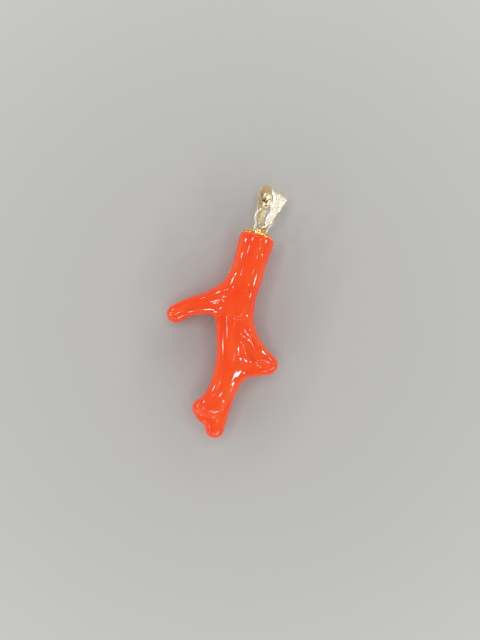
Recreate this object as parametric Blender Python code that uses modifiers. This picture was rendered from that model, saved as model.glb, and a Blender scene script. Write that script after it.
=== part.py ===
"""Red coral branch pendant.

A polished branch of red coral lies on its back, its stem along +Y and its broad side up.
A gold cup with an omega-shaped eyelet closes the stem's end, and a loose tapered bail
hangs in the eyelet. Metres, +Z up, origin at the bottom centre of the whole pendant.
"""
import math

import bmesh
import bpy
from mathutils import Matrix, Vector

MM = 0.001
GAP = 0.3 * MM                       # air between pieces that touch in the real pendant

# Coral limbs: centre line points and radius (x, y, z, radius), all in millimetres
STEM_TOP = [(2.95, 17.3, 3.85, 3.0), (2.95, 16.6, 3.87, 3.4), (2.92, 15.8, 3.9, 3.7),
            (2.75, 14.6, 3.98, 3.85), (2.5, 12.5, 4.0, 3.7), (2.45, 9.5, 4.1, 3.64),
            (2.25, 6.5, 4.15, 3.55)]
LEFT_LOBE = [(2.0, 9.5, 4.1, 3.1), (1.3, 6.0, 4.25, 3.25), (0.8, 2.2, 4.35, 3.2),
             (0.9, -1.6, 4.35, 3.13), (1.75, -5.4, 4.35, 3.13), (2.5, -9.0, 4.3, 3.08),
             (2.65, -12.0, 4.3, 2.93), (2.4, -15.0, 4.35, 2.73), (1.85, -17.6, 4.5, 2.53),
             (0.95, -19.8, 4.6, 2.42), (0.0, -21.5, 4.65, 2.4), (-0.7, -22.3, 4.65, 2.35)]
STUB_LIP = [(-1.05, -22.0, 4.7, 2.15), (-0.05, -23.4, 4.25, 2.15)]
RIGHT_LOBE = [(2.6, 9.0, 4.1, 3.15), (2.35, 5.4, 4.2, 3.15), (2.35, 2.4, 4.2, 3.15),
              (2.65, -0.4, 4.15, 3.1), (3.4, -2.9, 4.0, 3.0), (4.95, -5.1, 3.7, 2.75),
              (7.0, -7.1, 3.2, 2.4), (9.2, -8.75, 2.5, 2.22), (11.1, -9.95, 2.18, 2.22)]
LONG_BRANCH = [(2.0, 3.2, 4.0, 3.0), (0.0, 2.7, 3.8, 3.4), (-2.1, 1.75, 3.65, 3.2),
               (-4.1, 0.75, 3.6, 2.66), (-6.1, -0.05, 3.35, 2.25), (-8.75, -1.33, 2.65, 2.04),
               (-11.25, -3.2, 1.97, 2.01)]
LOWER_TIP = [(3.4, -9.0, 4.0, 2.9), (3.7, -12.5, 3.9, 2.8), (3.5, -15.5, 3.65, 2.45),
             (3.1, -18.6, 3.3, 2.15), (2.75, -21.6, 2.95, 2.1), (2.45, -24.2, 2.7, 2.17),
             (2.6, -26.25, 2.5, 2.05)]
WEB = [(3.5, -9.8, 3.9, 2.8), (6.0, -11.15, 3.3, 2.48), (8.5, -10.8, 2.65, 2.24),
       (10.9, -10.15, 2.25, 2.18)]
ARMPIT = [(1.0, 7.0, 4.0, 2.7), (-0.3, 4.7, 3.8, 2.65), (-2.2, 2.9, 3.6, 2.5)]
LIMBS = {"stem_top": STEM_TOP, "left_lobe": LEFT_LOBE, "stub_lip": STUB_LIP,
         "right_lobe": RIGHT_LOBE, "long_branch": LONG_BRANCH, "lower_tip": LOWER_TIP,
         "web": WEB, "armpit": ARMPIT}
CORAL_VOXEL = 0.42 * MM              # grain at which the limbs are fused
LIMB_SIDES = 6                       # bevel resolution of a limb's tube
FORK_SMOOTHING = 14                  # passes that round the forks
SMOOTHING_LOSS = 0.07 * MM           # what those passes take off the limbs
CORAL_FACES = 0.25                   # share of the faces kept

# Forks: a point on each cut, the direction from the stem into the branch, and the width
# of the block that takes the branch off, in millimetres
LONG_FORK = ((-3.6, 1.3, 4.0), (-0.9, -0.42, -0.12), 9.0)
SHORT_FORK = ((7.3, -8.6, 3.2), (0.93, -0.34, -0.15), 10.4)
STUB_FORK = ((1.25, -22.6, 3.6), (-0.88, 0.0, 0.47), 6.4)
BLOCK_REACH = 16.0 * MM              # how far a block reaches beyond its cut, and its height

# Gold cup on the stem's end, rim at its axis's zero
CAP_RIM_CENTRE = (2.85, 17.05, 3.85)  # millimetres
CAP_TURN = math.radians(4)           # how far the cup leans to the right of +Y
CAP_RADIUS = 3.25 * MM
CAP_LIP_RADIUS = 3.4 * MM
CAP_WALL = 0.3 * MM
CAP_SKIRT = 0.45 * MM
CAP_HEIGHT = 1.45 * MM
CAP_LIP = (0.1 * MM, 0.3 * MM, 0.4 * MM)  # heights where the lip starts, ends and has faded
CAP_STEPS = 48
DOME_STEPS = 6

# Omega-shaped eyelet soldered on the cup; heights are above its own foot point
EYELET_FOOT_POINT = (3.02, 16.5, 3.82)  # millimetres
EYELET_TURN = math.radians(7)        # how far it leans to the right of +Y
EYELET_ROLL = math.radians(35)       # its plane's turn about its own axis
EYELET_WIRE = 0.22 * MM              # radius of the wire
EYELET_RADIUS = 2.1 * MM             # centre line of its round part, from bottom to top
EYELET_SPREAD = 1.17                 # how much wider than high that part is
EYELET_CENTRE = 4.75 * MM            # height of its centre
EYELET_LEG = 1.65 * MM               # each leg's distance from the axis
EYELET_ROOT = 1.65 * MM              # height at which the legs are sunk in the cup
EYELET_STEPS = 22

# Bail: a band folded into a loop, wide at the top and narrow where it is linked
BAIL_TURN = math.radians(10)         # its length leans this far to the right of +Y
BAIL_DROP = math.radians(4)          # and dips this far towards the surface
BAIL_ROLL = math.radians(38)         # its front's turn about its own length
BAIL_TILT = math.radians(5)          # its foot lies this far to the right on the wire
BAIL_SHIFT = 0.37 * MM               # and all of it this far, along the eyelet's wire
BAIL_SHEET = 0.25 * MM
BAIL_TOP = 4.75 * MM                 # middle of the sheet at the top, above the eyelet's wire
BAIL_WAIST = 2.9 * MM                # height where the loop is deepest
BAIL_FRONT_DEPTH = 2.25 * MM
BAIL_BACK_DEPTH = 2.6 * MM
BAIL_BEND_CENTRE = -3.65 * MM        # centre of the bottom bend
BAIL_BEND_RADIUS = 0.62 * MM
BAIL_SIDE_CURVE = 0.8                # below 1 the sides swell out sooner above the bend
BAIL_SIDE_STEPS = 9
BAIL_ARC_STEPS = 10
# Height and width of the band, in millimetres
BAIL_WIDTHS = [(-4.4, 0.9), (-3.4, 0.95), (-2.9, 1.6), (-2.3, 2.0), (-1.0, 2.5), (0.7, 3.15),
               (2.0, 3.85), (3.8, 4.75), (4.8, 4.95)]


def start_clean():
    for obj in list(bpy.data.objects):
        bpy.data.objects.remove(obj, do_unlink=True)


def new_collection(name):
    collection = bpy.data.collections.new(name)
    bpy.context.scene.collection.children.link(collection)
    return collection


def new_material(name, colour, roughness, metallic):
    material = bpy.data.materials.new(name)
    material.use_nodes = True
    shader = material.node_tree.nodes["Principled BSDF"]
    shader.inputs["Base Color"].default_value = (*colour, 1.0)
    shader.inputs["Roughness"].default_value = roughness
    shader.inputs["Metallic"].default_value = metallic
    return material


def new_object(name, mesh, collection, material=None):
    obj = bpy.data.objects.new(name, mesh)
    if material:
        mesh.materials.clear()
        mesh.materials.append(material)
    collection.objects.link(obj)
    return obj


def mesh_of(obj):
    """The object's evaluated mesh in world space, with loose caps welded."""
    bpy.context.view_layer.update()
    evaluated = obj.evaluated_get(bpy.context.evaluated_depsgraph_get())
    mesh = bpy.data.meshes.new_from_object(evaluated)
    mesh.transform(obj.matrix_world)
    bm = bmesh.new()
    bm.from_mesh(mesh)
    bmesh.ops.remove_doubles(bm, verts=bm.verts, dist=0.001 * MM)
    bm.to_mesh(mesh)
    bm.free()
    return mesh


def tube(name, points, radii):
    """A closed tube through points, as a mesh; the radii follow it smoothly."""
    curve = bpy.data.curves.new(name, 'CURVE')
    curve.dimensions = '3D'
    curve.bevel_depth = MM
    curve.bevel_resolution = LIMB_SIDES
    curve.resolution_u = 6
    curve.use_fill_caps = True
    spline = curve.splines.new('BEZIER')
    spline.bezier_points.add(len(points) - 1)
    spline.radius_interpolation = 'CARDINAL'
    for bezier, point, radius in zip(spline.bezier_points, points, radii):
        bezier.co = point
        bezier.radius = radius / MM
        bezier.handle_left_type = 'AUTO'
        bezier.handle_right_type = 'AUTO'
    obj = new_object(name, curve, bpy.context.scene.collection)
    mesh = mesh_of(obj)
    bpy.data.objects.remove(obj)
    bpy.data.curves.remove(curve)
    return mesh


def cutter(name, mesh, collection):
    obj = new_object(name, mesh, collection)
    obj.hide_render = True
    obj.display_type = 'WIRE'
    return obj


def boolean(obj, other, operation):
    modifier = obj.modifiers.new(other.name, 'BOOLEAN')
    modifier.operation = operation
    modifier.object = other


def round_off(mesh, angle=40):
    mesh.shade_smooth()
    mesh.set_sharp_from_angle(angle=math.radians(angle))


# ---- coral ---------------------------------------------------------------------------

def limb_into(bm, name, limb):
    """Adds one limb: a tube along its centre line and a ball at each end."""
    points = [Vector(row[:3]) * MM for row in limb]
    radii = [row[3] * MM for row in limb]
    mesh = tube(name, points, radii)
    bm.from_mesh(mesh)
    bpy.data.meshes.remove(mesh)
    for point, radius in ((points[0], radii[0]), (points[-1], radii[-1])):
        bmesh.ops.create_uvsphere(bm, u_segments=24, v_segments=16, radius=radius,
                                  matrix=Matrix.Translation(point))


def fused_coral(guides):
    """All the limbs grown together in one smooth skin."""
    bm = bmesh.new()
    for name, limb in LIMBS.items():
        limb_into(bm, name, limb)
    mesh = bpy.data.meshes.new("coral_limbs")
    bm.to_mesh(mesh)
    bm.free()
    limbs = cutter("coral_limbs", mesh, guides)
    remesh = limbs.modifiers.new("fuse", 'REMESH')
    remesh.mode = 'VOXEL'
    remesh.voxel_size = CORAL_VOXEL
    smooth = limbs.modifiers.new("round_forks", 'SMOOTH')
    smooth.factor = 0.5
    smooth.iterations = FORK_SMOOTHING
    swell = limbs.modifiers.new("swell", 'DISPLACE')
    swell.mid_level = 0.0
    swell.strength = SMOOTHING_LOSS
    thin = limbs.modifiers.new("thin", 'DECIMATE')
    thin.ratio = CORAL_FACES
    coral = mesh_of(limbs)
    coral.name = "coral"
    return coral


def fork_block(name, fork, gap, collection):
    """A block beyond a fork's cut, smaller all round by gap."""
    point, direction, width = Vector(fork[0]) * MM, Vector(fork[1]).normalized(), fork[2] * MM
    across = direction.cross((0, 0, 1)).normalized()
    rising = across.cross(direction)
    bm = bmesh.new()
    bmesh.ops.create_cube(bm, size=1.0)
    bmesh.ops.scale(bm, verts=bm.verts,
                    vec=(width - 2 * gap, BLOCK_REACH - 2 * gap, BLOCK_REACH - 2 * gap))
    mesh = bpy.data.meshes.new(name)
    bm.to_mesh(mesh)
    bm.free()
    block = cutter(name, mesh, collection)
    turn = Matrix((across, rising, direction)).transposed().to_4x4()
    block.matrix_world = Matrix.Translation(point + direction * BLOCK_REACH / 2) @ turn
    return block


def cap_seat(collection):
    """The ring of coral that is ground away so that the cup goes over the stem's end."""
    reach = 3 * CAP_RADIUS
    inner = CAP_RADIUS - CAP_WALL - GAP
    top = CAP_HEIGHT - CAP_WALL - GAP
    profile = [(0, reach), (reach, reach), (reach, -GAP), (inner, -GAP)]
    profile += dome_points(inner, CAP_SKIRT - CAP_WALL, top)
    mesh = turned("cap_seat", profile, CAP_STEPS)
    seat = cutter("cap_seat", mesh, collection)
    seat.matrix_world = cap_frame()
    return seat


def build_coral(parts, cutters, material):
    coral = fused_coral(cutters)
    forks = {"coral_long_branch": LONG_FORK, "coral_short_branch": SHORT_FORK,
             "coral_end_stub": STUB_FORK}
    stem = new_object("coral_stem", coral.copy(), parts, material)
    for name, fork in forks.items():
        boolean(stem, fork_block(name + "_room", fork, 0.0, cutters), 'DIFFERENCE')
        branch = new_object(name, coral.copy(), parts, material)
        boolean(branch, fork_block(name + "_block", fork, GAP, cutters), 'INTERSECT')
        round_off(branch.data)
    boolean(stem, cap_seat(cutters), 'DIFFERENCE')
    round_off(stem.data)


# ---- cup and eyelet --------------------------------------------------------------------

def upright_frame(place, lean, roll=0.0):
    """World matrix with local Z along the stem, leaning to the right, and X to the right."""
    turn = Matrix.Rotation(-lean, 4, 'Z')
    upright = Matrix.Rotation(math.radians(-90), 4, 'X')
    middle = Matrix.Translation(Vector(place) * MM)
    return middle @ turn @ upright @ Matrix.Rotation(roll, 4, 'Z')


def cap_frame():
    return upright_frame(CAP_RIM_CENTRE, CAP_TURN)


def eyelet_frame():
    return upright_frame(EYELET_FOOT_POINT, EYELET_TURN, EYELET_ROLL)


def dome_points(radius, skirt, height):
    """Profile of a quarter ellipse on a skirt, from the skirt's upper edge to the axis."""
    angles = [math.pi / 2 * i / DOME_STEPS for i in range(DOME_STEPS + 1)]
    return [(radius * math.cos(a), skirt + (height - skirt) * math.sin(a)) for a in angles]


def turned(name, profile, steps):
    """A closed solid of revolution about Z; profile holds (radius, height) points."""
    bm = bmesh.new()
    verts = [bm.verts.new((radius, 0, height)) for radius, height in profile]
    for one, two in zip(verts, verts[1:]):
        bm.edges.new((one, two))
    mesh = bpy.data.meshes.new(name)
    bm.to_mesh(mesh)
    bm.free()
    obj = new_object(name, mesh, bpy.context.scene.collection)
    screw = obj.modifiers.new("turn", 'SCREW')
    screw.steps = steps
    screw.render_steps = steps
    screw.use_merge_vertices = True
    screw.merge_threshold = 0.001 * MM
    solid = mesh_of(obj)
    bpy.data.objects.remove(obj)
    bm = bmesh.new()
    bm.from_mesh(solid)
    bmesh.ops.recalc_face_normals(bm, faces=bm.faces)
    bm.to_mesh(solid)
    bm.free()
    return solid


def build_cap(parts, cutters, material):
    outer = dome_points(CAP_RADIUS, CAP_SKIRT, CAP_HEIGHT)
    inner = dome_points(CAP_RADIUS - CAP_WALL, CAP_SKIRT - CAP_WALL, CAP_HEIGHT - CAP_WALL)
    lip_foot, lip_top, lip_end = CAP_LIP
    lip = [(CAP_RADIUS, lip_end), (CAP_LIP_RADIUS, lip_top), (CAP_LIP_RADIUS, lip_foot),
           (CAP_RADIUS, 0.0), (CAP_RADIUS - CAP_WALL, 0.0)]
    profile = list(reversed(outer)) + lip + inner
    cap = new_object("end_cap", turned("end_cap", profile, CAP_STEPS), parts, material)
    cap.matrix_world = cap_frame()
    wire = cutter("eyelet_wire", eyelet_mesh(), cutters)
    boolean(cap, wire, 'UNION')
    round_off(cap.data, 50)


def eyelet_mesh():
    """Two short legs and most of a circle, as one bent wire."""
    open_angle = math.asin(EYELET_LEG / (EYELET_RADIUS * EYELET_SPREAD))
    start = open_angle - math.pi / 2
    turn = 2 * math.pi - 2 * open_angle
    angles = [start + turn * i / EYELET_STEPS for i in range(EYELET_STEPS + 1)]
    foot = Vector((EYELET_LEG, 0, EYELET_ROOT))
    ring = [Vector((EYELET_SPREAD * EYELET_RADIUS * math.cos(a), 0,
                    EYELET_CENTRE + EYELET_RADIUS * math.sin(a))) for a in angles]
    route = [foot] + ring + [Vector((-foot.x, 0, foot.z))]
    frame = eyelet_frame()
    curve = bpy.data.curves.new("eyelet_wire", 'CURVE')
    curve.dimensions = '3D'
    curve.bevel_depth = EYELET_WIRE
    curve.bevel_resolution = 2
    curve.use_fill_caps = True
    spline = curve.splines.new('POLY')
    spline.points.add(len(route) - 1)
    for spot, point in zip(spline.points, route):
        spot.co = (*(frame @ point), 1.0)
    obj = new_object("eyelet_wire", curve, bpy.context.scene.collection)
    mesh = mesh_of(obj)
    bpy.data.objects.remove(obj)
    bpy.data.curves.remove(curve)
    return mesh


# ---- bail ------------------------------------------------------------------------------

def pivot_point():
    """Middle of the eyelet's wire at its top, which the bail swings on."""
    return eyelet_frame() @ Vector((0, 0, EYELET_CENTRE + EYELET_RADIUS))


def bail_frame():
    """World matrix of the bail: local Z along its length, -Y out of its front."""
    across = Vector((math.cos(BAIL_TURN), -math.sin(BAIL_TURN), 0))
    length = Vector((math.sin(BAIL_TURN) * math.cos(BAIL_DROP),
                     math.cos(BAIL_TURN) * math.cos(BAIL_DROP), -math.sin(BAIL_DROP)))
    up = across.cross(length)
    width = across * math.cos(BAIL_ROLL) - up * math.sin(BAIL_ROLL)
    front = across * math.sin(BAIL_ROLL) + up * math.cos(BAIL_ROLL)
    turn = Matrix((width, -front, length)).transposed().to_4x4()
    along_wire = eyelet_frame().to_3x3() @ Vector((BAIL_SHIFT, 0, 0))
    tilt = Matrix.Rotation(-BAIL_TILT, 4, 'Y')
    return Matrix.Translation(pivot_point() + along_wire) @ turn @ tilt


def bail_side(deepest):
    """One side of the loop from the bottom bend up to the waist, as (depth, height)."""
    points = []
    for i in range(BAIL_SIDE_STEPS):
        t = i / BAIL_SIDE_STEPS
        spread = math.sin(t * math.pi / 2) ** BAIL_SIDE_CURVE
        depth = BAIL_BEND_RADIUS + (deepest - BAIL_BEND_RADIUS) * spread
        points.append((depth, BAIL_BEND_CENTRE + (BAIL_WAIST - BAIL_BEND_CENTRE) * t))
    return points


def bail_outline():
    """The loop seen from the side: (depth, height) points round the middle of the sheet."""
    points = bail_side(BAIL_FRONT_DEPTH)
    middle = (BAIL_FRONT_DEPTH - BAIL_BACK_DEPTH) / 2
    half_depth = (BAIL_FRONT_DEPTH + BAIL_BACK_DEPTH) / 2
    for i in range(BAIL_ARC_STEPS + 1):
        a = math.pi * i / BAIL_ARC_STEPS
        points.append((middle + half_depth * math.cos(a),
                       BAIL_WAIST + (BAIL_TOP - BAIL_WAIST) * math.sin(a)))
    points += [(-depth, height) for depth, height in reversed(bail_side(BAIL_BACK_DEPTH))]
    for i in range(1, BAIL_ARC_STEPS):
        a = math.pi + math.pi * i / BAIL_ARC_STEPS
        points.append((BAIL_BEND_RADIUS * math.cos(a),
                       BAIL_BEND_CENTRE + BAIL_BEND_RADIUS * math.sin(a)))
    return points


def bail_width(height):
    """Width of the band at a height, in metres."""
    rows = BAIL_WIDTHS
    level = height / MM
    for (low, narrow), (high, wide) in zip(rows, rows[1:]):
        if level <= high:
            share = max(0.0, (level - low) / (high - low))
            return (narrow + (wide - narrow) * share) * MM
    return rows[-1][1] * MM


def build_bail(parts, material):
    columns = (-0.5, -0.25, 0.0, 0.25, 0.5)
    bm = bmesh.new()
    rings = [[bm.verts.new((column * bail_width(height), -depth, height))
              for column in columns] for depth, height in bail_outline()]
    for ring, following in zip(rings, rings[1:] + rings[:1]):
        for i in range(len(columns) - 1):
            bm.faces.new((ring[i], ring[i + 1], following[i + 1], following[i]))
    bmesh.ops.recalc_face_normals(bm, faces=bm.faces)
    mesh = bpy.data.meshes.new("bail")
    bm.to_mesh(mesh)
    bm.free()
    bail = new_object("bail", mesh, parts, material)
    bail.matrix_world = bail_frame()
    sheet = bail.modifiers.new("sheet", 'SOLIDIFY')
    sheet.thickness = BAIL_SHEET
    sheet.offset = 0.0
    round_off(mesh, 50)


def main():
    start_clean()
    parts = new_collection("red_coral_branch")
    cutters = new_collection("cutters")
    coral_red = new_material("coral_red", (0.86, 0.045, 0.012), 0.16, 0.0)
    gold = new_material("gold", (0.95, 0.66, 0.28), 0.22, 1.0)
    white_gold = new_material("white_gold", (0.86, 0.80, 0.68), 0.2, 1.0)
    build_coral(parts, cutters, coral_red)
    build_cap(parts, cutters, gold)
    build_bail(parts, white_gold)


main()
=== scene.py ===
"""Looks of the red coral branch pendant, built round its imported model.

The coral is one grown piece, so one seamless mesh stands for its four solids. The cup, its
eyelet and the bail are remade with their fine shapes. Lengths in tables are millimetres.
"""
import math

import bmesh
import bpy
import numpy as np
from mathutils import Matrix, Vector

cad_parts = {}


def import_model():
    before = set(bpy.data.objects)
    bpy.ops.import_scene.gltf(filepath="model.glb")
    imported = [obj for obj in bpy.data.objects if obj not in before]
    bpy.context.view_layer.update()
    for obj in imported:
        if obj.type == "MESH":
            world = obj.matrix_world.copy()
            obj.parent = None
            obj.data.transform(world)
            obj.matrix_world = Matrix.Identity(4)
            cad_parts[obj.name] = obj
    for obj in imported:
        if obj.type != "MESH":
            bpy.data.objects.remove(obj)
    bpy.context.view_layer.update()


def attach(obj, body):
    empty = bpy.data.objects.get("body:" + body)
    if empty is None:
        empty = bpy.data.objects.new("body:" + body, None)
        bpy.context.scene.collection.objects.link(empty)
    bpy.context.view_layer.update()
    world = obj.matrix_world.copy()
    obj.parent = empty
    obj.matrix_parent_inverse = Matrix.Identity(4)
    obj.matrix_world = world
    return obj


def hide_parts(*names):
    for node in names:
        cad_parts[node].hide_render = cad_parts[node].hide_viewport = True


MM = 0.001
WELD_DISTANCE = 0.001 * MM

# ---- coral: centre line points and radius of each limb (x, y, z, radius) ---------------
STEM_TOP = [(2.93, 16.3, 3.87, 3.8), (2.88, 15.6, 3.9, 3.84), (2.8, 14.6, 3.98, 3.8),
            (2.6, 12.5, 4.0, 3.64), (2.47, 9.5, 4.1, 3.62), (2.25, 6.5, 4.15, 3.55)]
LEFT_LOBE = [(2.0, 9.5, 4.1, 3.1), (1.3, 6.0, 4.25, 3.25), (0.8, 2.2, 4.35, 3.2),
             (0.9, -1.6, 4.35, 3.13), (1.75, -5.4, 4.35, 3.13), (2.5, -9.0, 4.3, 3.08),
             (2.65, -12.0, 4.3, 2.93), (2.4, -15.0, 4.35, 2.73), (1.85, -17.6, 4.5, 2.53),
             (0.95, -19.8, 4.6, 2.42), (0.0, -21.5, 4.65, 2.4), (-0.7, -22.3, 4.65, 2.35)]
STUB_LIP = [(-1.05, -22.0, 4.7, 2.15), (-0.05, -23.4, 4.25, 2.15)]
RIGHT_LOBE = [(2.6, 9.0, 4.1, 3.15), (2.35, 5.4, 4.2, 3.15), (2.35, 2.4, 4.2, 3.15),
              (2.65, -0.4, 4.15, 3.1), (3.4, -2.9, 4.0, 3.0), (4.95, -5.1, 3.7, 2.75),
              (7.0, -7.1, 3.2, 2.4), (9.2, -8.75, 2.5, 2.22), (11.1, -9.95, 2.18, 2.22)]
LONG_BRANCH = [(2.0, 3.2, 4.0, 3.0), (0.0, 2.7, 3.8, 3.4), (-2.1, 1.75, 3.65, 3.2),
               (-4.1, 0.75, 3.6, 2.66), (-6.1, -0.05, 3.35, 2.25), (-8.75, -1.33, 2.65, 2.04),
               (-11.25, -3.2, 1.97, 2.01)]
LOWER_TIP = [(3.4, -9.0, 3.7, 2.85), (3.7, -12.5, 3.75, 2.8), (3.5, -15.5, 3.65, 2.45),
             (3.1, -18.6, 3.3, 2.15), (2.75, -21.6, 2.95, 2.15), (2.42, -24.2, 2.7, 2.24),
             (2.52, -26.22, 2.5, 2.1)]
WEB = [(3.5, -9.8, 3.9, 2.8), (6.0, -11.15, 3.3, 2.48), (8.5, -10.8, 2.65, 2.24),
       (10.9, -10.15, 2.25, 2.18)]
ARMPIT = [(1.05, 7.0, 4.0, 2.65), (-0.2, 4.6, 3.8, 2.5), (-2.1, 2.75, 3.6, 2.35)]
LONG_CROTCH = [(-2.9, 0.6, 3.65, 2.3), (-1.7, 0.0, 3.75, 2.3), (-0.96, -0.71, 3.8, 2.3),
               (-0.3, -1.5, 3.95, 2.3), (0.16, -2.71, 4.1, 2.3)]
SHORT_CROTCH = [(7.6, -11.2, 2.95, 2.2), (6.67, -11.42, 3.1, 2.2), (5.33, -12.25, 3.4, 2.2),
                (4.31, -13.94, 3.6, 2.2)]
STUB_EDGE = [(4.75, -12.4, 5.15, 0.95), (4.25, -14.5, 5.35, 0.95), (3.85, -16.5, 5.5, 0.9),
             (3.4, -18.4, 5.6, 0.85), (2.95, -20.2, 5.65, 0.8), (2.2, -21.4, 5.65, 0.8),
             (0.95, -22.1, 5.7, 0.8), (-0.8, -22.25, 5.7, 0.8), (-2.0, -21.7, 5.45, 0.8)]
STUB_BASE = [(-1.95, -22.35, 3.4, 1.5), (-1.0, -23.35, 3.2, 1.5), (0.15, -24.2, 3.1, 1.5),
             (1.2, -24.6, 2.9, 1.45)]
LIMBS = {"stem_top": STEM_TOP, "left_lobe": LEFT_LOBE, "stub_lip": STUB_LIP,
         "right_lobe": RIGHT_LOBE, "long_branch": LONG_BRANCH, "lower_tip": LOWER_TIP,
         "web": WEB, "armpit": ARMPIT, "long_crotch": LONG_CROTCH,
         "short_crotch": SHORT_CROTCH, "stub_base": STUB_BASE}
LIMB_SIDES = 10                      # steps of a limb's round section, as Blender counts them
LIMB_STEPS = 12                      # steps along it between two points
BALL_SEGMENTS = (48, 32)             # of the ball at a limb's end, round it and up it
CORAL_VOXEL = 0.19 * MM
FORK_SMOOTHING = 45                  # passes that round the forks
EDGE_SMOOTHING = 12                  # passes that round the stub's edge
SMOOTHING_LOSS = 0.07 * MM           # what those passes take off the limbs

# The stub's blunt end face: a point on it and the way it faces
STUB_FACE_PLACE = (0.5, -22.75, 6.1)
STUB_FACE_NORMAL = (-0.12, -0.85, 0.52)

# Under the cup the coral is ground flat: a point on the stem's axis, the axis, and how far
# the coral reaches past that point
STEM_END = np.array((2.8, 16.1, 3.85))
STEM_AXIS = np.array((0.07, 0.9975, 0.0))
STEM_REACH = 1.1

# Ridges (positive) and grooves on the upper side: height, half width, points (x, y) of the
# line down the middle
RIDGES = {
    "stem_left": (0.08, 0.9, [(0.5, 13.2), (0.6, 10.6), (0.55, 8.4), (0.4, 5.7), (0.0, 3.4)]),
    "stem_right": (0.07, 0.9, [(4.5, 15.0), (4.4, 12.7), (4.0, 10.0), (3.5, 7.5), (3.1, 5.2),
                               (3.2, 2.8), (3.9, 0.2)]),
    "stem_outer": (0.05, 0.6, [(5.4, 14.2), (5.2, 11.6), (4.8, 9.3), (4.4, 5.9), (4.1, 3.0)]),
    "mid": (0.06, 0.9, [(1.5, -0.9), (1.6, -4.1), (1.4, -8.1), (1.2, -12.5), (1.5, -16.6),
                       (1.3, -19.9)]),
    "mid_right": (0.05, 0.9, [(3.7, -0.4), (4.6, -2.8), (4.3, -5.7), (3.0, -9.3), (3.2, -12.8)]),
    "short_inner": (0.2, 0.8, [(5.4, -2.8), (6.5, -4.8), (7.75, -7.2), (8.9, -8.7),
                               (10.0, -9.3)]),
    "short_groove": (-0.06, 0.5, [(6.9, -4.0), (8.2, -6.0), (9.2, -7.4), (10.3, -8.3)]),
    "short_outer": (0.07, 0.5, [(7.6, -4.2), (8.9, -6.2), (10.0, -7.6), (11.1, -8.5)]),
    "short_hollow": (-0.06, 1.4, [(4.8, -6.0), (6.2, -8.4), (7.8, -9.9), (9.2, -10.6)]),
    "fork_crest": (0.24, 0.62, [(0.1, -1.4), (1.2, -0.8), (1.9, -1.0), (2.9, -0.85), (4.2, 0.3)]),
    "stub_hollow": (-0.1, 0.65, [(-1.6, -23.1), (0.0, -23.7), (1.5, -23.4), (2.6, -22.5)]),
    "tip": (0.05, 0.7, [(3.4, -21.5), (2.6, -23.6), (2.4, -25.6)]),
}
RIDGE_STEP = 0.1                     # spacing of the samples along a ridge
RIDGE_ROUNDING = 80                  # passes that round a ridge's corners
RIDGE_END_SHARE = 0.15               # share of its height that a ridge has at its ends
RIDGE_END_LENGTH = 2.0               # length over which it rises from there
UPPER_SIDE = (-0.1, 0.45)            # upward parts of the normal between which ridges rise

# Growth lines along the limbs: how often they go round, height and drift per millimetre
GROWTH_LINES = [(5, 0.006, 0.05), (11, 0.002, -0.07), (19, 0.001, 0.11), (31, 0.0005, -0.05)]
GROWTH_STEP = 0.25                   # spacing of the samples along a limb
GROWTH_REACH = 0.18                  # how far from a limb's skin its lines fade, in its radii
LIMB_PHASE = 1.7                     # turns the lines of one limb against the next one's
LINE_PHASE = 0.6                     # and one set of lines against another
LEAST_WEIGHT = 1e-6                  # what a limb counts for at the least, far from it

NEAREST_CHUNK = 4096                 # points whose nearest sample is looked for at once

# ---- gold cup and eyelet ----------------------------------------------------------------
CAP_RIM_CENTRE = (2.85, 17.05, 3.85)
CAP_TURN = math.radians(4)           # how far the cup leans to the right of +Y
# Radius and height above the rim, from the inside of the rim over the dome to the axis
CAP_PROFILE = [(2.9, 0.35), (3.05, 0.02), (3.22, 0.0), (3.26, 0.1), (3.22, 0.42), (3.12, 0.6),
               (2.9, 0.72), (2.6, 0.8), (2.2, 0.92), (2.05, 1.08), (1.95, 1.26), (1.7, 1.4),
               (1.2, 1.47), (0.6, 1.5), (0.0, 1.51)]
CAP_UNDERSIDE = [(0.0, 1.15), (2.4, 0.75)]  # the same for the inside of the dome
CAP_STEPS = 160
CAP_PROFILE_STEP = 0.05
# Rows of gold beads on the cup: radius of the row, height, radius of a bead, how many
BEAD_ROWS = [(3.24, 0.2, 0.19, 30), (2.28, 0.98, 0.15, 26)]
BEAD_SEGMENTS = (16, 10)
EYELET_FOOT_POINT = (3.02, 16.5, 3.82)
EYELET_TURN = math.radians(7)        # how far it leans to the right of +Y
EYELET_ROLL = math.radians(35)       # its plane's turn about its own axis
EYELET_CENTRE = 4.75                 # heights are above the eyelet's foot point
EYELET_RADIUS = 2.1                  # of its round part
EYELET_SPREAD = 1.17                 # how much wider than high the round part is
EYELET_WIRE = 0.22                   # radius of the wire
EYELET_SIDES = 24                    # steps round the wire
EYELET_RING_POINTS = 96
EYELET_LEG = 1.65                    # each leg's distance from the axis
EYELET_LEG_POINTS = 14
EYELET_LEG_GAP = 0.06                # between a leg's last point and the round part
EYELET_ROOT = 1.65                   # height at which the legs are sunk in the cup
EYELET_STEP = 0.1                    # spacing of the points along the wire
EYELET_ROUNDING = 30                 # passes that round the bends where the legs begin
SOLDER_SWELL = 1.1                   # how much the solder adds to the wire's radius, in radii
SOLDER_HEIGHT = 0.3                  # height over which it thins out

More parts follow.
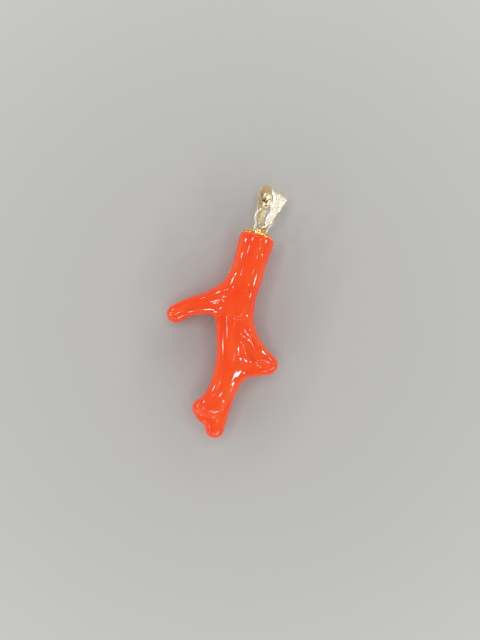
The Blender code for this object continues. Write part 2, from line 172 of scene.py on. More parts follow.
# ---- bail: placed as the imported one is, with a fuller back and bottom bend ------------------
BAIL_TURN = math.radians(10)         # its length leans this far to the right of +Y
BAIL_DROP = math.radians(4)          # and dips this far towards the surface
BAIL_ROLL = math.radians(38)         # its front's turn about its own length
BAIL_TILT = math.radians(5)          # its foot lies this far to the right on the wire
BAIL_SHIFT = 0.37                    # and all of it this far, along the eyelet's wire
BAIL_SHEET = 0.25                    # thickness of the metal
BAIL_TOP = 4.75                      # heights are above the eyelet's wire
BAIL_WAIST = 2.9                     # height where the loop is deepest
BAIL_FRONT_DEPTH = 2.25
BAIL_BACK_DEPTH = 2.6
BAIL_BEND_CENTRE = -3.65             # height of the bottom bend's centre
BAIL_BEND_RADIUS = 0.62
BAIL_FRONT_CURVE = 0.8               # below 1 the sides swell out sooner above the bend
BAIL_BACK_CURVE = 0.5
# Height and width of the band
BAIL_WIDTHS = [(-4.6, 1.3), (-4.2, 1.55), (-3.8, 1.5), (-3.4, 1.2), (-2.9, 1.65), (-2.3, 2.0),
               (-1.0, 2.5), (0.7, 3.15), (2.0, 3.85), (3.8, 4.75), (4.8, 4.95)]
BAIL_BORDER = 0.26                   # width of the polished rim along each edge
BORDER_FADE = (0.8, 1.5)             # where the field begins and is whole, in border widths
BAIL_SIDE_POINTS = 60
BAIL_TOP_POINTS = 80
BAIL_BEND_POINTS = 40
BAIL_LOOP_POINTS = 420               # round the loop, once all of it is spaced evenly
BAIL_CROSS_POINTS = 60               # from one edge of the band to the other, on one face
EDGE_PINCH = 0.12                    # how far the points across are drawn to the middle
EDGE_ROUNDNESS = 0.35                # the band's edges are squarer the nearer this is to 0
BEND_LEVELS = (-2.9, -3.6)           # heights where the bottom bend begins and is whole
BEND_THICKENING = 0.3                # how much thicker the sheet is at the bottom bend
BEND_SWELL = 0.35                    # and how much of that again is added to each face
INSIDE_SATIN = 0.8                   # how satin the inside is, where the stamped field is 1
PANEL_TOP = (4.2, 3.4)               # heights where the stamping begins and is whole
PANEL_FOOT = (-3.4, -3.0)            # the same at the lower end
FIELD_DEPTH = 0.05                   # how far the field lies below the rim
# Stamped ornament, the same on the front and the back: place across and along, half length,
# half width and lean of each leaf
LEAVES = [(0.0, 2.35, 0.72, 0.27, 0), (0.62, 2.15, 0.62, 0.22, 24), (-0.62, 2.15, 0.62, 0.22, -24),
          (0.78, 1.2, 0.5, 0.17, 62), (-0.78, 1.2, 0.5, 0.17, -62), (0.0, 3.45, 0.3, 0.12, 0),
          (1.2, 2.9, 0.42, 0.15, 40), (-1.2, 2.9, 0.42, 0.15, -40)]
LEAF_HEIGHT = 0.13
LEAF_TAPER = 0.35                    # how much narrower a leaf is towards its tip
LEAF_EDGE = 0.6                      # share of a leaf over which its edge rises
# Stamped lines: height, half width, points; each is mirrored too
LINES = [(0.07, 0.1, [(0.0, 1.45), (0.0, 1.0), (0.25, 0.72)]),
         (0.07, 0.1, [(0.36, 0.75), (0.42, 0.4), (0.25, 0.08), (0.0, -0.02)]),
         (0.06, 0.1, [(0.1, -0.4), (0.55, -0.35), (0.82, 0.0), (0.75, 0.4)]),
         (0.07, 0.1, [(0.0, -3.1), (0.35, -2.75), (0.55, -2.45)])]
ROSETTE = (-1.75, [0.22, 0.52, 0.8])  # place along the bail and radii of its rings
ROSETTE_HEIGHT = 0.06
ROSETTE_RING = 0.09                  # half width of a ring
STAMP_STEP = 0.05                    # spacing of the samples along a line
# Painted shade on the inside of the back: the shade of a small hole (place across and along,
# radius) and the eyelet's shadow as a line (half width, points), and the share of their size at
# which each is quite dark
BACK_HOLE_SHADE = (-0.35, 0.55, 0.22)
EYELET_SHADOW_LINE = (0.14, [(-0.5, -0.2), (0.1, 0.12), (0.7, 0.3), (1.2, 0.36)])
HOLE_SHADE_CORE = 0.7
SHADOW_LINE_CORE = 0.6

# ---- looks ------------------------------------------------------------------------------
CORAL_DARK = (0.96, 0.055, 0.0095)
CORAL_LIGHT = (0.98, 0.11, 0.0165)
CORAL_TONES = (0.25, 0.8)            # where on the clouds the dark and the light one lie
CORAL_CLOUDS = (160.0, 3.0)          # scale and detail of the clouds
CORAL_GROWTH = 0.15                  # how much of the growth lines is mixed into the clouds
CORAL_ROUGHNESS = 0.07
CORAL_IOR = 1.5
CORAL_GLOW = (0.05, (1.0, 0.25, 0.1), 0.6 * MM)  # subsurface weight, radii and scale
METAL_CLOUDS = (1400.0, 4.0)
METAL_SPREAD = (0.6, 1.6)            # least and most roughness, in shares of the given one
METAL_BUMP = (0.2, 0.015 * MM)       # strength and depth
GOLD = (1.0, 0.62, 0.22)
PALE_GOLD = (1.0, 0.92, 0.74)
WHITE_GOLD = (0.89, 0.8, 0.66)
INSIDE_REFLECTION_TINT = (0.99, 0.87, 0.6)           # painted warm reflection on the inside of the bail
INSIDE_SHADE = (0.05, 0.035, 0.02)          # painted shade on the inside of the bail: in its hollow leaves, in a small hole and under the eyelet
POLISHED = 0.16
SOLDERED = 0.3
SATIN = 0.24                         # roughness that the stamped field adds
FLOOR_COLOUR = (0.47, 0.465, 0.452)
FLOOR_ROUGHNESS = 0.7
FLOOR_REACH = 3.0                    # metres from its middle to each side
STUDIO_COLOUR = (0.95, 0.97, 1.0)
STUDIO_STRENGTH = 0.22

# ---- camera -----------------------------------------------------------------------------
CAMERA_PLACE = (3.0, -1.6, 140.0)    # straight above the pendant
CAMERA_TURN = math.radians(12)
CAMERA_LENS = 35.0
CAMERA_SENSOR = 36.0
CAMERA_NEAR = 1.0                    # nearest thing it sees

# Rings of small lamps round the camera: radius, height, count, lamp size, power in watts
RING_LIGHTS = [(150.0, 62.0, 18, 15.0, 0.0205), (85.0, 140.0, 12, 10.0, 0.007)]
LAMP_AIM_HEIGHT = 4.0                # height above the floor of what the lamps point at


# ---- small tools ------------------------------------------------------------------------

def link(obj):
    bpy.context.scene.collection.objects.link(obj)
    return obj


def mesh_of(obj):
    """The evaluated mesh of an object, which is then removed."""
    bpy.context.view_layer.update()
    evaluated = obj.evaluated_get(bpy.context.evaluated_depsgraph_get())
    mesh = bpy.data.meshes.new_from_object(evaluated)
    mesh.transform(obj.matrix_world)
    bpy.data.objects.remove(obj)
    return mesh


def coordinates(mesh):
    points = np.empty(len(mesh.vertices) * 3)
    mesh.vertices.foreach_get("co", points)
    return points.reshape(-1, 3)


def vertex_normals(mesh):
    normals = np.empty(len(mesh.vertices) * 3)
    mesh.vertex_normals.foreach_get("vector", normals)
    return normals.reshape(-1, 3)


def set_coordinates(mesh, points):
    mesh.vertices.foreach_set("co", points.ravel())
    mesh.update()


def paint(mesh, name, values):
    """Stores one number for each vertex, for a material to read."""
    attribute = mesh.attributes.new(name, 'FLOAT', 'POINT')
    attribute.data.foreach_set("value", values.astype(np.float32))


def smoothstep(low, high, values):
    """0 up to low, 1 from high on and a soft rise between; low may be the larger one."""
    share = np.clip((values - low) / (high - low), 0.0, 1.0)
    return share * share * (3 - 2 * share)


def unit_rows(vectors):
    return vectors / np.linalg.norm(vectors, axis=1)[:, None]


def reach_along(points):
    """How far along a polyline each of its points is."""
    lengths = np.linalg.norm(np.diff(points, axis=0), axis=1)
    return np.concatenate([[0.0], np.cumsum(lengths)])


def points_at(points, reach, marks):
    """The points of a polyline that lie at the given marks along it."""
    return np.stack([np.interp(marks, reach, column) for column in points.T], axis=1)


def sampled(points, step):
    """Points spaced evenly along a polyline, and how far along it each one is."""
    points = np.array(points, float)
    reach = reach_along(points)
    marks = np.linspace(0.0, reach[-1], max(2, int(reach[-1] / step)))
    return points_at(points, reach, marks), marks


def rounded(points, passes):
    """Rounds a polyline's corners in place; its two ends stay."""
    for _ in range(passes):
        points[1:-1] = (points[:-2] + 2 * points[1:-1] + points[2:]) / 4
    return points


def nearest(points, samples):
    """For each point, the index of its nearest sample and the distance to it."""
    index = np.empty(len(points), int)
    distance = np.empty(len(points))
    for start in range(0, len(points), NEAREST_CHUNK):
        part = points[start:start + NEAREST_CHUNK]
        gaps = np.linalg.norm(part[:, None, :] - samples[None, :, :], axis=2)
        index[start:start + NEAREST_CHUNK] = gaps.argmin(axis=1)
        distance[start:start + NEAREST_CHUNK] = gaps.min(axis=1)
    return index, distance


# ---- coral ------------------------------------------------------------------------------

def limb_curve(name, limb):
    """The limb as a curve with a round section."""
    curve = bpy.data.curves.new(name, 'CURVE')
    curve.dimensions = '3D'
    curve.bevel_depth = MM
    curve.bevel_resolution = LIMB_SIDES
    curve.resolution_u = LIMB_STEPS
    curve.use_fill_caps = True
    spline = curve.splines.new('BEZIER')
    spline.bezier_points.add(len(limb) - 1)
    spline.radius_interpolation = 'CARDINAL'
    for bezier, (x, y, z, radius) in zip(spline.bezier_points, limb):
        bezier.co = (x * MM, y * MM, z * MM)
        bezier.radius = radius
        bezier.handle_left_type = 'AUTO'
        bezier.handle_right_type = 'AUTO'
    return link(bpy.data.objects.new(name, curve))


def add_ball(bm, place, radius, segments):
    bmesh.ops.create_uvsphere(bm, u_segments=segments[0], v_segments=segments[1],
                              radius=radius * MM, matrix=Matrix.Translation(place * MM))


def add_limb(bm, name, limb):
    """Adds a limb with a ball at each end."""
    mesh = mesh_of(limb_curve(name, limb))
    bm.from_mesh(mesh)
    bpy.data.meshes.remove(mesh)
    for x, y, z, radius in (limb[0], limb[-1]):
        add_ball(bm, Vector((x, y, z)), radius, BALL_SEGMENTS)


def fused(bm, passes):
    """One skin round everything in bm, smoothed; bm is used up."""
    mesh = bpy.data.meshes.new("limbs")
    bm.to_mesh(mesh)
    bm.free()
    obj = link(bpy.data.objects.new("limbs", mesh))
    remesh = obj.modifiers.new("fuse", 'REMESH')
    remesh.mode = 'VOXEL'
    remesh.voxel_size = CORAL_VOXEL
    if passes:
        smooth = obj.modifiers.new("smooth", 'SMOOTH')
        smooth.factor = 0.5
        smooth.iterations = passes
        swell = obj.modifiers.new("swell", 'DISPLACE')
        swell.mid_level = 0.0
        swell.strength = SMOOTHING_LOSS * passes / FORK_SMOOTHING
    return mesh_of(obj)


def blunt_lobe():
    """The left lobe and its stub, with the stub's end cut off flat."""
    bm = bmesh.new()
    add_limb(bm, "left_lobe", LEFT_LOBE)
    add_limb(bm, "stub_lip", STUB_LIP)
    mesh = fused(bm, 0)
    bm = bmesh.new()
    bm.from_mesh(mesh)
    bpy.data.meshes.remove(mesh)
    bmesh.ops.bisect_plane(bm, geom=bm.verts[:] + bm.edges[:] + bm.faces[:],
                           plane_co=Vector(STUB_FACE_PLACE) * MM,
                           plane_no=STUB_FACE_NORMAL, clear_outer=True)
    bmesh.ops.holes_fill(bm, edges=[edge for edge in bm.edges if edge.is_boundary])
    return bm


def fused_limbs():
    """All the limbs grown together: round forks first, then the stub's tighter edge."""
    bm = blunt_lobe()
    for name, limb in LIMBS.items():
        if name not in ("left_lobe", "stub_lip"):
            add_limb(bm, name, limb)
    body = fused(bm, FORK_SMOOTHING)
    bm = bmesh.new()
    bm.from_mesh(body)
    bpy.data.meshes.remove(body)
    add_limb(bm, "stub_edge", STUB_EDGE)
    return fused(bm, EDGE_SMOOTHING)


def ridge_relief(points, normals):
    """Height of the ridges and grooves at each point, in millimetres."""
    relief = np.zeros(len(points))
    upper = smoothstep(*UPPER_SIDE, normals[:, 2])
    for height, width, line in RIDGES.values():
        samples, marks = sampled(line, RIDGE_STEP)
        index, distance = nearest(points[:, :2], rounded(samples, RIDGE_ROUNDING))
        ends = np.minimum(marks[index], marks[-1] - marks[index])
        rise = smoothstep(0.0, RIDGE_END_LENGTH, ends)
        fade = RIDGE_END_SHARE + (1 - RIDGE_END_SHARE) * rise
        relief += height * fade * np.exp(-(distance / width) ** 2) * upper
    return relief


def growth_lines(points):
    """Fine lines that run along each limb, as a height in millimetres, and their pattern."""
    total = np.zeros(len(points))
    pattern = np.zeros(len(points))
    weights = np.zeros(len(points))
    for number, limb in enumerate(LIMBS.values()):
        samples, marks = sampled(limb, GROWTH_STEP)
        centres, radii = samples[:, :3], samples[:, 3]
        index, distance = nearest(points, centres)
        along = unit_rows(np.gradient(centres, axis=0))
        away = points - centres[index]
        side = np.cross(along[index], (0.0, 0.0, 1.0))
        angle = np.arctan2((away * side).sum(axis=1), away[:, 2])
        off_skin = distance / radii[index] - 1.0
        weight = np.exp(-(off_skin / GROWTH_REACH) ** 2) + LEAST_WEIGHT
        lines = np.zeros(len(points))
        for turns, height, drift in GROWTH_LINES:
            phase = number * LIMB_PHASE + turns * LINE_PHASE
            lines += height * np.sin(turns * angle + drift * turns * marks[index] + phase)
        total += weight * lines
        pattern += weight * lines / sum(height for _, height, _ in GROWTH_LINES)
        weights += weight
    return total / weights, pattern / weights


def ground_end(points):
    """Presses the coral beyond the cup's rim into a flat end with a round edge."""
    past = (points - STEM_END) @ STEM_AXIS
    pressed = STEM_REACH * np.tanh(past / STEM_REACH)
    move = np.where(past > 0, pressed - past, 0.0)
    return points + move[:, None] * STEM_AXIS


def build_coral(material):
    mesh = fused_limbs()
    mesh.name = "coral_branch"
    points = coordinates(mesh) / MM
    normals = vertex_normals(mesh)
    lines, pattern = growth_lines(points)
    height = ridge_relief(points, normals) + lines
    set_coordinates(mesh, ground_end(points + normals * height[:, None]) * MM)
    paint(mesh, "growth", pattern)
    mesh.shade_smooth()
    mesh.materials.clear()
    mesh.materials.append(material)
    coral = link(bpy.data.objects.new("coral_branch", mesh))
    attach(coral, "coral_and_cap")
    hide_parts("coral_stem", "coral_long_branch", "coral_short_branch",
                "coral_end_stub")


# ---- cup, eyelet and bail -----------------------------------------------------------------

def upright_frame(place, lean, roll=0.0):
    """World matrix in millimetres: Z along the stem, leaning to the right, X to the right."""
    turn = Matrix.Rotation(-lean, 4, 'Z')
    upright = Matrix.Rotation(math.radians(-90), 4, 'X')
    return Matrix.Translation(place) @ turn @ upright @ Matrix.Rotation(roll, 4, 'Z')


def cap_frame():
    return upright_frame(CAP_RIM_CENTRE, CAP_TURN)


def eyelet_frame():
    return upright_frame(EYELET_FOOT_POINT, EYELET_TURN, EYELET_ROLL)


def finished(name, mesh, material, body, slot, *nodes):
    """A piece of the pendant: its material, its body and the nodes it stands for."""
    mesh.materials.clear()
    mesh.materials.append(material)
    obj = link(bpy.data.objects.new(name, mesh))
    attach(obj, body)
    if nodes:
        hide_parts(*nodes)


def grid_mesh(name, points, closed_rows, closed_columns):
    """Quads over a grid of points, which may close on itself either way."""
    rows, columns = points.shape[:2]
    index = np.arange(rows * columns).reshape(rows, columns)
    if closed_rows:
        index = np.vstack([index, index[:1]])
    if closed_columns:
        index = np.hstack([index, index[:, :1]])
    quads = np.stack([index[:-1, :-1], index[1:, :-1], index[1:, 1:], index[:-1, 1:]], axis=-1)
    mesh = bpy.data.meshes.new(name)
    mesh.from_pydata(points.reshape(-1, 3), [], quads.reshape(-1, 4).tolist())
    mesh.validate()
    return mesh


def moved(points, matrix):
    """Points in millimetres through a matrix in millimetres, as metres."""
    matrix = np.array(matrix)
    return (points @ matrix[:3, :3].T + matrix[:3, 3]) * MM


def smooth_skin(mesh, weld):
    """Welds what meets, if weld is set, turns the faces outwards and shades them smooth."""
    bm = bmesh.new()
    bm.from_mesh(mesh)
    if weld:
        bmesh.ops.remove_doubles(bm, verts=bm.verts, dist=WELD_DISTANCE)
    bmesh.ops.recalc_face_normals(bm, faces=bm.faces)
    bm.to_mesh(mesh)
    bm.free()
    mesh.shade_smooth()


def build_cap(material):
    """The cup as one turned shell, with its rows of beads."""
    profile, _ = sampled(CAP_PROFILE, CAP_PROFILE_STEP)
    profile = np.vstack([CAP_UNDERSIDE, profile])
    angles = np.linspace(0, 2 * math.pi, CAP_STEPS, endpoint=False)
    radius, height = profile[:, 0], profile[:, 1]
    points = np.stack([radius[:, None] * np.cos(angles), radius[:, None] * np.sin(angles),
                       np.repeat(height[:, None], CAP_STEPS, axis=1)], axis=-1)
    mesh = grid_mesh("end_cap_cup", moved(points, cap_frame()), False, True)
    bm = bmesh.new()
    bm.from_mesh(mesh)
    for row, (out, level, size, count) in enumerate(BEAD_ROWS):
        for number in range(count):
            angle = 2 * math.pi * (number + 0.5 * row) / count
            spot = cap_frame() @ Vector((out * math.cos(angle), out * math.sin(angle), level))
            add_ball(bm, spot, size, BEAD_SEGMENTS)
    bm.to_mesh(mesh)
    bm.free()
    smooth_skin(mesh, weld=True)
    finished("end_cap_cup", mesh, material, "coral_and_cap", "gold", "end_cap")


def build_eyelet(material):
    """A wire bent to an omega, with a drop of solder at each foot."""
    spread = EYELET_SPREAD * EYELET_RADIUS
    open_angle = math.asin(EYELET_LEG / spread)
    start = open_angle - math.pi / 2
    angles = np.linspace(start, start + 2 * math.pi - 2 * open_angle, EYELET_RING_POINTS)
    ring = np.stack([spread * np.cos(angles), 0 * angles,
                     EYELET_CENTRE + EYELET_RADIUS * np.sin(angles)], axis=1)
    legs = np.linspace(EYELET_ROOT, ring[0, 2] - EYELET_LEG_GAP, EYELET_LEG_POINTS)
    leg = np.stack([0 * legs + EYELET_LEG, 0 * legs, legs], axis=1)
    route, _ = sampled(np.vstack([leg, ring, leg[::-1] * (-1, 1, 1)]), EYELET_STEP)
    route = rounded(route, EYELET_ROUNDING)
    along = unit_rows(np.gradient(route, axis=0))
    depth = np.array((0.0, 1.0, 0.0))
    side = np.cross(along, depth)
    above_root = route[:, 2] - EYELET_ROOT
    solder = 1 + SOLDER_SWELL * np.exp(-(above_root / SOLDER_HEIGHT) ** 2)
    turn = np.linspace(0, 2 * math.pi, EYELET_SIDES, endpoint=False)
    wire = EYELET_WIRE * solder[:, None]
    points = (route[:, None, :] + (wire * np.cos(turn))[:, :, None] * side[:, None, :]
              + (wire * np.sin(turn))[:, :, None] * depth)
    closed = np.stack([np.repeat(route[:1], EYELET_SIDES, axis=0), *points,
                       np.repeat(route[-1:], EYELET_SIDES, axis=0)])
    mesh = grid_mesh("eyelet", moved(closed, eyelet_frame()), False, True)
    smooth_skin(mesh, weld=True)
    finished("eyelet", mesh, material, "coral_and_cap", "gold")


def bail_frame():
    """World matrix of the bail in millimetres: Z along its length, -Y out of its front."""
    across = Vector((math.cos(BAIL_TURN), -math.sin(BAIL_TURN), 0))
    length = Vector((math.sin(BAIL_TURN) * math.cos(BAIL_DROP),
                     math.cos(BAIL_TURN) * math.cos(BAIL_DROP), -math.sin(BAIL_DROP)))
    up = across.cross(length)
    width = across * math.cos(BAIL_ROLL) - up * math.sin(BAIL_ROLL)
    front = across * math.sin(BAIL_ROLL) + up * math.cos(BAIL_ROLL)
    turn = Matrix((width, -front, length)).transposed().to_4x4()
    place = eyelet_frame() @ Vector((BAIL_SHIFT, 0, EYELET_CENTRE + EYELET_RADIUS))
    return Matrix.Translation(place) @ turn @ Matrix.Rotation(-BAIL_TILT, 4, 'Y')


def bail_side(deepest, curve):
    """One side of the loop from the bottom bend up to the waist, as (depth, height)."""
    share = np.linspace(0, 1, BAIL_SIDE_POINTS, endpoint=False)
    spread = np.sin(share * math.pi / 2) ** curve
    depth = BAIL_BEND_RADIUS + (deepest - BAIL_BEND_RADIUS) * spread
    return np.stack([depth, BAIL_BEND_CENTRE + (BAIL_WAIST - BAIL_BEND_CENTRE) * share], axis=1)


def bail_loop():
    """The middle of the sheet seen from the side: rows of (depth, height), evenly spaced."""
    turn = np.linspace(0, math.pi, BAIL_TOP_POINTS)
    middle = (BAIL_FRONT_DEPTH - BAIL_BACK_DEPTH) / 2
    half_depth = (BAIL_FRONT_DEPTH + BAIL_BACK_DEPTH) / 2
    top = np.stack([middle + half_depth * np.cos(turn),
                    BAIL_WAIST + (BAIL_TOP - BAIL_WAIST) * np.sin(turn)], axis=1)
    front = bail_side(BAIL_FRONT_DEPTH, BAIL_FRONT_CURVE)
    back = bail_side(BAIL_BACK_DEPTH, BAIL_BACK_CURVE)[::-1] * (-1, 1)
    turn = np.linspace(math.pi, 2 * math.pi, BAIL_BEND_POINTS)[1:]
    bend = np.stack([BAIL_BEND_RADIUS * np.cos(turn),
                     BAIL_BEND_CENTRE + BAIL_BEND_RADIUS * np.sin(turn)], axis=1)
    whole = np.vstack([front, top, back, bend])
    reach = reach_along(whole)
    return points_at(whole, reach, np.linspace(0, reach[-1], BAIL_LOOP_POINTS, endpoint=False))


def stamped(across, height):
    """Height of the stamped ornament, and how far each point is inside a leaf."""
    leaf_share = np.zeros(len(across))
    for x, z, long, wide, lean in LEAVES:
        lean = math.radians(lean)
        dx, dz = across - x, height - z
        along = dx * math.sin(lean) + dz * math.cos(lean)
        beside = dx * math.cos(lean) - dz * math.sin(lean)
        width = wide * (1 - LEAF_TAPER * along / long)
        inside = 1 - (along / long) ** 2 - (beside / width) ** 2
        leaf_share = np.maximum(leaf_share, smoothstep(0.0, LEAF_EDGE, inside))
    relief = LEAF_HEIGHT * leaf_share
    flat = np.stack([np.abs(across), height], axis=1)
    for level, width, line in LINES:
        samples, _ = sampled(line, STAMP_STEP)
        _, distance = nearest(flat, samples)
        relief += level * np.exp(-(distance / width) ** 2)
    place, rings = ROSETTE
    out = np.hypot(across, height - place)
    for radius in rings:
        relief += ROSETTE_HEIGHT * np.exp(-((out - radius) / ROSETTE_RING) ** 2)
    return relief, leaf_share


def back_shade(x, z):
    """How dark the painted shade of the small hole and of the eyelet's shadow line on the inside
    of the back is at each point.
    """
    hole_x, hole_z, radius = BACK_HOLE_SHADE
    hole_shade = smoothstep(radius, radius * HOLE_SHADE_CORE, np.hypot(x - hole_x, z - hole_z))
    width, points = EYELET_SHADOW_LINE
    samples, _ = sampled(points, STAMP_STEP)
    _, distance = nearest(np.stack([x.ravel(), z.ravel()], axis=1), samples)
    return np.maximum(hole_shade, smoothstep(width, width * SHADOW_LINE_CORE, distance).reshape(x.shape))


def build_bail(material):
    """The band as a closed skin: rows round the loop, and a flat ring of points in each."""
    loop = bail_loop()
    depth, height = loop[:, 0], loop[:, 1]
    along = unit_rows(np.roll(loop, -1, axis=0) - np.roll(loop, 1, axis=0))
    outward = np.stack([along[:, 1], -along[:, 0]], axis=1)
    levels, widths = np.array(BAIL_WIDTHS).T
    half_width = np.interp(height, levels, widths) / 2
    bend = smoothstep(*BEND_LEVELS, height)
    half_sheet = (BAIL_SHEET + BEND_THICKENING * bend) / 2

    # One ring: over the outer face from edge to edge, then back under the inner one
    turn = np.linspace(0, math.pi, BAIL_CROSS_POINTS)
    share = -np.cos(turn) * (1 - EDGE_PINCH * np.sin(turn) ** 2)
    thick = np.sin(turn) ** EDGE_ROUNDNESS
    across = np.concatenate([share, share[-2:0:-1]])
    side = np.concatenate([thick, -thick[-2:0:-1]])
    x = half_width[:, None] * across[None, :]
    z = np.repeat(height[:, None], len(across), axis=1)
    edge = half_width[:, None] - np.abs(x)

    relief, leaf = stamped(x.ravel(), z.ravel())
    relief, leaf = relief.reshape(x.shape), leaf.reshape(x.shape)
    begin, whole = (BAIL_BORDER * share for share in BORDER_FADE)
    field = smoothstep(begin, whole, edge) * (1 - bend[:, None])
    panel = smoothstep(*PANEL_TOP, z) * smoothstep(*PANEL_FOOT, z)
    relief = (relief * panel - FIELD_DEPTH) * field
    off = side[None, :] * half_sheet[:, None] * (1 + BEND_SWELL * bend[:, None]) + relief
    points = np.stack([x, -(depth[:, None] + outward[:, :1] * off),
                       z + outward[:, 1:] * off], axis=-1)
    mesh = grid_mesh("bail_loop", moved(points, bail_frame()), True, True)

    inner = np.repeat((side < 0)[None, :], len(height), axis=0)
    # painted shade on the inside: darker hollow leaves, the small hole's shade and the eyelet's
    # shadow line
    marks = back_shade(x, z) * (depth < 0)[:, None]
    paint(mesh, "painted_shade", (np.maximum(leaf * panel * field, marks) * inner).ravel())
    paint(mesh, "field", np.where(inner, INSIDE_SATIN, field).ravel())
    # where the inside of the bail takes its painted warm reflection
    paint(mesh, "inside", (inner * (1 - bend[:, None])).ravel())
    smooth_skin(mesh, weld=False)
    finished("bail_loop", mesh, material, "bail", "white_gold", "bail")


# ---- materials --------------------------------------------------------------------------

def new_material(name):
    """A material, its nodes, its links and its shader."""
    material = bpy.data.materials.new(name)
    material.use_nodes = True
    nodes = material.node_tree.nodes
    return material, nodes, material.node_tree.links, nodes["Principled BSDF"]


def attribute_value(nodes, name):
    """What paint() stored under a name, and 0 where it stored nothing."""
    attribute = nodes.new("ShaderNodeAttribute")
    attribute.attribute_name = name
    return attribute.outputs["Fac"]


def clouds(nodes, links, scale, detail):
    """Soft noise that is fixed to the piece."""
    place = nodes.new("ShaderNodeTexCoord")
    cloud = nodes.new("ShaderNodeTexNoise")
    cloud.inputs["Scale"].default_value = scale
    cloud.inputs["Detail"].default_value = detail
    links.new(place.outputs["Object"], cloud.inputs["Vector"])
    return cloud.outputs["Fac"]


def scaled_sum(nodes, links, value, factor, addend):
    """value * factor + addend, where value and addend are sockets."""
    result = nodes.new("ShaderNodeMath")
    result.operation = 'MULTIPLY_ADD'
    links.new(value, result.inputs[0])
    result.inputs[1].default_value = factor
    links.new(addend, result.inputs[2])
    return result.outputs["Value"]


def mixed(nodes, links, first, second, attribute):
    """A colour that goes from first to second with an attribute; first may be a socket."""
    mix = nodes.new("ShaderNodeMix")
    mix.data_type = 'RGBA'
    if isinstance(first, tuple):
        mix.inputs["A"].default_value = (*first, 1)
    else:
        links.new(first, mix.inputs["A"])
    mix.inputs["B"].default_value = (*second, 1)
    links.new(attribute_value(nodes, attribute), mix.inputs["Factor"])
    return mix.outputs["Result"]


def coral_material():
    """Polished coral, a little lighter in its clouds and along its growth lines."""
    material, nodes, links, shader = new_material("red_coral")
    weight, radii, scale = CORAL_GLOW
    shader.inputs["Subsurface Weight"].default_value = weight
    shader.inputs["Subsurface Radius"].default_value = radii
    shader.inputs["Subsurface Scale"].default_value = scale
    shader.inputs["Roughness"].default_value = CORAL_ROUGHNESS
    shader.inputs["IOR"].default_value = CORAL_IOR
    growth = attribute_value(nodes, "growth")
    cloud = clouds(nodes, links, *CORAL_CLOUDS)
    ramp = nodes.new("ShaderNodeValToRGB")
    tones = zip(ramp.color_ramp.elements, CORAL_TONES, (CORAL_DARK, CORAL_LIGHT))
    for element, position, colour in tones:
        element.position = position
        element.color = (*colour, 1)
    links.new(scaled_sum(nodes, links, growth, CORAL_GROWTH, cloud), ramp.inputs["Fac"])
    links.new(ramp.outputs["Color"], shader.inputs["Base Color"])
    return material


def metal_material(name, colour, roughness, satin=0.0, reflection_tint=None, shade_tint=None):
    """Polished metal with faint clouds. Where they are given, satin is added to the
    roughness of the stamped field, and the last two colours are those of the painted warm
    reflection on the inside of the bail and of the painted shade in its hollows, in a small hole
    and under the eyelet."""
    material, nodes, links, shader = new_material(name)
    shader.inputs["Metallic"].default_value = 1.0
    cloud = clouds(nodes, links, *METAL_CLOUDS)
    rough = nodes.new("ShaderNodeMapRange")
    least, most = METAL_SPREAD
    rough.inputs["To Min"].default_value = roughness * least
    rough.inputs["To Max"].default_value = roughness * most
    links.new(cloud, rough.inputs["Value"])
    field = attribute_value(nodes, "field")
    dulled = scaled_sum(nodes, links, field, satin, rough.outputs["Result"])
    links.new(dulled, shader.inputs["Roughness"])
    bump = nodes.new("ShaderNodeBump")
    strength, depth = METAL_BUMP
    bump.inputs["Strength"].default_value = strength
    bump.inputs["Distance"].default_value = depth
    links.new(cloud, bump.inputs["Height"])
    links.new(bump.outputs["Normal"], shader.inputs["Normal"])
    tint = colour
    # painted warm reflection on the inside of the bail, then painted shade over it
    if reflection_tint:
        tint = mixed(nodes, links, tint, reflection_tint, "inside")
    if shade_tint:
        tint = mixed(nodes, links, tint, shade_tint, "painted_shade")
    if tint is colour:
        shader.inputs["Base Color"].default_value = (*colour, 1)
    else:
        links.new(tint, shader.inputs["Base Color"])
    return material


def plain_material(name, colour, roughness):
    material, _, _, shader = new_material(name)
    shader.inputs["Base Color"].default_value = (*colour, 1)
    shader.inputs["Roughness"].default_value = roughness
    return material


# ---- stage ------------------------------------------------------------------------------

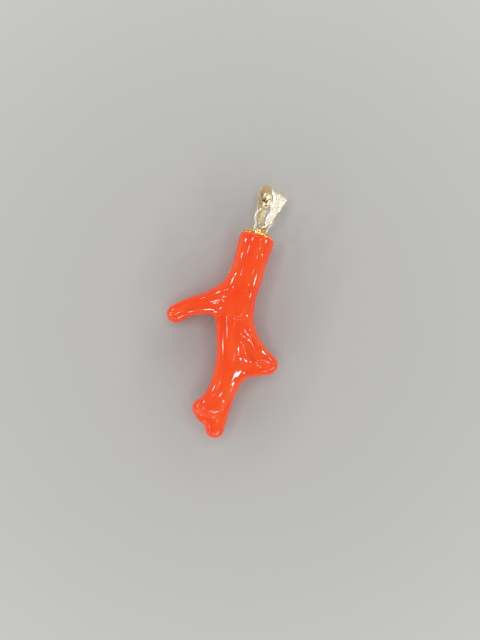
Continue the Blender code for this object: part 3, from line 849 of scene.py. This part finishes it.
def build_floor():
    bm = bmesh.new()
    bmesh.ops.create_grid(bm, x_segments=1, y_segments=1, size=FLOOR_REACH)
    mesh = bpy.data.meshes.new("floor")
    bm.to_mesh(mesh)
    bm.free()
    mesh.materials.append(plain_material("pale_floor", FLOOR_COLOUR, FLOOR_ROUGHNESS))
    link(bpy.data.objects.new("floor", mesh))


def disc_light(name, place, size, power, target):
    light = bpy.data.lights.new(name, 'AREA')
    light.shape = 'DISK'
    light.size = size * MM
    light.energy = power
    obj = link(bpy.data.objects.new(name, light))
    obj.location = Vector(place) * MM
    aim = (Vector(target) - Vector(place)).normalized()
    obj.rotation_euler = aim.to_track_quat('-Z', 'Y').to_euler()


def build_lights():
    """Rings of small lamps round the camera, in a dim, even studio."""
    world = bpy.data.worlds.new("studio")
    world.use_nodes = True
    background = world.node_tree.nodes["Background"]
    background.inputs["Color"].default_value = (*STUDIO_COLOUR, 1)
    background.inputs["Strength"].default_value = STUDIO_STRENGTH
    bpy.context.scene.world = world
    middle_x, middle_y, _ = CAMERA_PLACE
    middle = (middle_x, middle_y, LAMP_AIM_HEIGHT)
    for ring, (radius, height, count, size, power) in enumerate(RING_LIGHTS):
        for number in range(count):
            angle = 2 * math.pi * (number + 0.5 * ring) / count
            place = (middle_x + radius * math.cos(angle), middle_y + radius * math.sin(angle),
                     height)
            disc_light(f"lamp_{ring}_{number}", place, size, power, middle)


def build_camera():
    camera = bpy.data.cameras.new("camera")
    camera.lens = CAMERA_LENS
    camera.sensor_width = CAMERA_SENSOR
    camera.sensor_fit = 'AUTO'
    camera.clip_start = CAMERA_NEAR * MM
    obj = link(bpy.data.objects.new("camera", camera))
    obj.location = Vector(CAMERA_PLACE) * MM
    obj.rotation_euler = (0.0, 0.0, CAMERA_TURN)
    bpy.context.scene.camera = obj


def main():
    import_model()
    bpy.context.scene.view_settings.view_transform = 'Standard'
    build_coral(coral_material())
    gold = metal_material("gold", GOLD, POLISHED)
    pale_gold = metal_material("pale_gold", PALE_GOLD, SOLDERED)
    # the bail's white gold, with a painted warm reflection and painted shade on its inside
    white_gold = metal_material("white_gold", WHITE_GOLD, POLISHED, satin=SATIN,
                                reflection_tint=INSIDE_REFLECTION_TINT, shade_tint=INSIDE_SHADE)
    build_cap(gold)
    build_eyelet(pale_gold)
    build_bail(white_gold)
    build_floor()
    build_lights()
    build_camera()


main()
